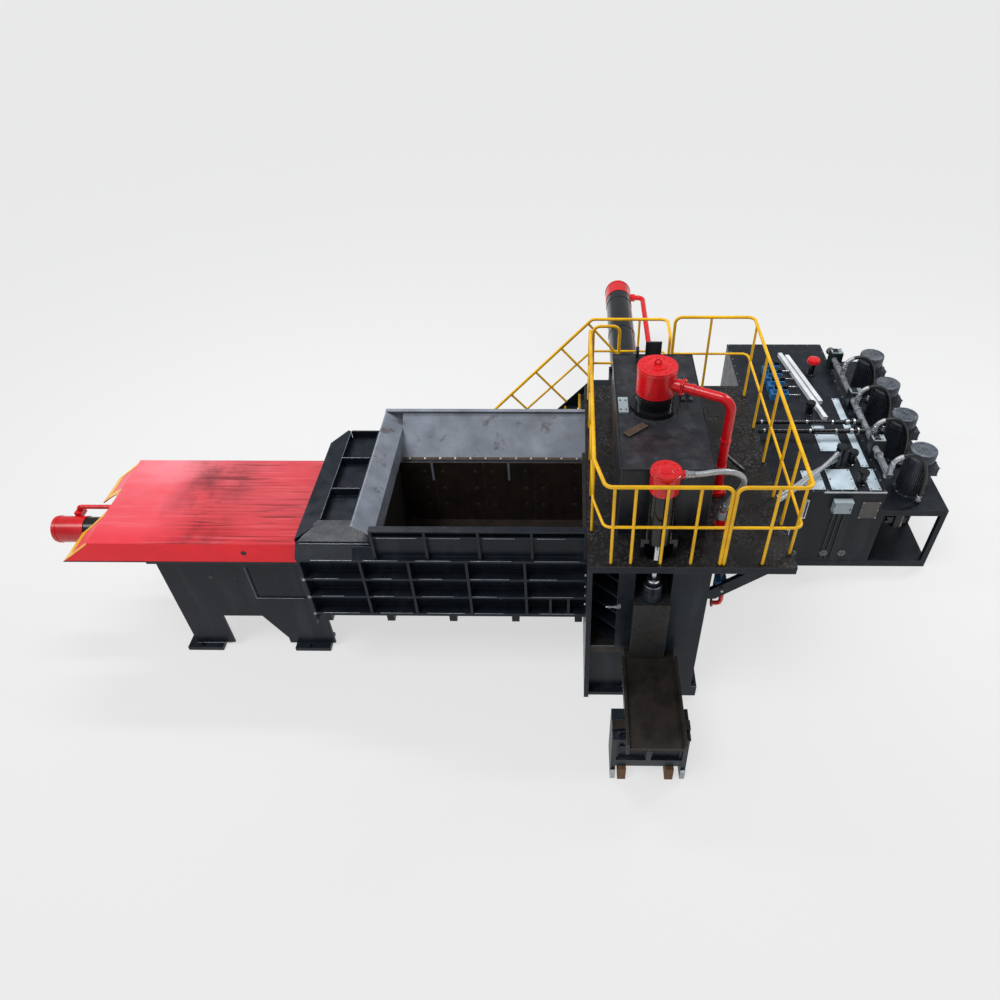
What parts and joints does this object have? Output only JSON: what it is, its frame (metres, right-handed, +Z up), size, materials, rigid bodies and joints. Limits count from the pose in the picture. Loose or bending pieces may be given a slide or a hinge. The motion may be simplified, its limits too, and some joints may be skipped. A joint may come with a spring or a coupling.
{
  "type": "three-ram hydraulic scrap baler",
  "caption": "Three-ram hydraulic scrap baler: charging box and hopper, press frame with railed deck, outlet gate, bale table and motor-driven power unit.",
  "frame": {"origin": "on the floor under the middle of the bale chamber, where the three ram axes' planes meet", "axes": "+Z up, +X along the charging box in the main ram's pushing direction, +Y towards the eject cylinder, away from the bale outlet"},
  "size_m": [12.525, 10.6, 4.235],
  "materials": {
    "frame_paint": "semi-gloss dark blue-grey paint",
    "unit_paint": "satin dark grey paint",
    "red_paint": "glossy red enamel",
    "cover_paint": "worn red enamel",
    "yellow_paint": "glossy yellow enamel",
    "wear_steel": "rust-brown wear plate",
    "collar_steel": "worn light grey",
    "tube_black": "glossy black",
    "rod_chrome": "hard chrome",
    "ram_steel": "scraped bare steel",
    "gate_steel": "worn bare steel",
    "deck_steel": "chequer plate, dark",
    "table_steel": "brown worn steel",
    "wood": "rough sawn timber",
    "motor_paint": "satin grey-blue paint",
    "manifold": "dark green block with plated pipe",
    "hose_rubber": "black rubber",
    "pipe_black": "black steel pipe",
    "fitting_paint": "black fittings",
    "box_pale": "pale grey box"
  },
  "bodies": {
    "machine": {"bale_table": "table_steel", "box_floor": "frame_paint", "box_liners": "wear_steel", "box_walls": "frame_paint", "chamber_floor": "wear_steel", "crown_fittings": "fitting_paint", "cylinder_pipes": "red_paint", "deck_frame": "frame_paint", "deck_hoses": "hose_rubber", "deck_plate": "deck_steel", "eject_cylinder_cap": "red_paint", "eject_cylinder_tube": "tube_black", "eject_guide_box": "frame_paint", "feed_pipes": "pipe_black", "gate_cylinder_cap": "red_paint", "gate_cylinder_tube": "tube_black", "hold_down_beam": "frame_paint", "hopper_front_wall": "frame_paint", "hopper_left_wall": "collar_steel", "hopper_rear_wall": "collar_steel", "main_cylinder_cap": "red_paint", "main_cylinder_tube": "tube_black", "motor_fan_cowls": "motor_paint", "motor_housings": "motor_paint", "oil_tank": "unit_paint", "power_unit_frame": "unit_paint", "press_base": "frame_paint", "press_crown": "frame_paint", "press_cylinder_cap": "red_paint", "press_cylinder_tube": "tube_black", "press_left_plate": "frame_paint", "press_right_column": "frame_paint", "pressure_manifold": "manifold", "pump_hoses": "hose_rubber", "pumps": "fitting_paint", "railings": "yellow_paint", "ram_frame_sides": "frame_paint", "ram_frame_ties": "frame_paint", "shear_blade": "ram_steel", "stair_railing": "yellow_paint", "stairs": "frame_paint", "tank_front_fittings": "box_pale", "tank_lid": "unit_paint", "tank_top_fittings": "fitting_paint", "throat_roof": "frame_paint", "throat_sides": "frame_paint", "wood_blocks": "wood"},
    "main_ram": {"main_ram_head": "ram_steel", "main_ram_cover": "cover_paint", "main_piston_rod": "rod_chrome"},
    "press_ram_body": {"press_ram": "ram_steel", "press_piston_rod": "rod_chrome"},
    "eject_ram_body": {"eject_ram": "ram_steel", "eject_piston_rod": "rod_chrome"},
    "gate_body": {"outlet_gate": "gate_steel", "gate_piston_rod": "rod_chrome"},
    "rotor_1": {"motor_rotor_1": "ram_steel"},
    "rotor_2": {"motor_rotor_2": "ram_steel"},
    "rotor_3": {"motor_rotor_3": "ram_steel"},
    "rotor_4": {"motor_rotor_4": "ram_steel"}
  },
  "joints": [
    {"name": "main_ram_slide", "type": "slide", "parent": "machine", "child": "main_ram", "axis": [1, 0, 0], "range_m": [0, 3.1]},
    {"name": "press_ram_slide", "type": "slide", "parent": "machine", "child": "press_ram_body", "axis": [0, 0, -1], "range_m": [0, 0.58]},
    {"name": "eject_ram_slide", "type": "slide", "parent": "machine", "child": "eject_ram_body", "axis": [0, -1, 0], "range_m": [0, 1.85]},
    {"name": "gate_lift", "type": "slide", "parent": "machine", "child": "gate_body", "axis": [0, 0, 1], "range_m": [0, 0.6]},
    {"name": "motor_spin_1", "type": "hinge", "parent": "machine", "child": "rotor_1", "pos_m": [4.15, 1.46, 1.5], "axis": [0, 0, 1], "continuous": true},
    {"name": "motor_spin_2", "type": "hinge", "parent": "machine", "child": "rotor_2", "pos_m": [4.15, 2.35, 1.5], "axis": [0, 0, 1], "continuous": true},
    {"name": "motor_spin_3", "type": "hinge", "parent": "machine", "child": "rotor_3", "pos_m": [4.15, 3.24, 1.5], "axis": [0, 0, 1], "continuous": true},
    {"name": "motor_spin_4", "type": "hinge", "parent": "machine", "child": "rotor_4", "pos_m": [4.15, 4.13, 1.5], "axis": [0, 0, 1], "continuous": true}
  ]
}
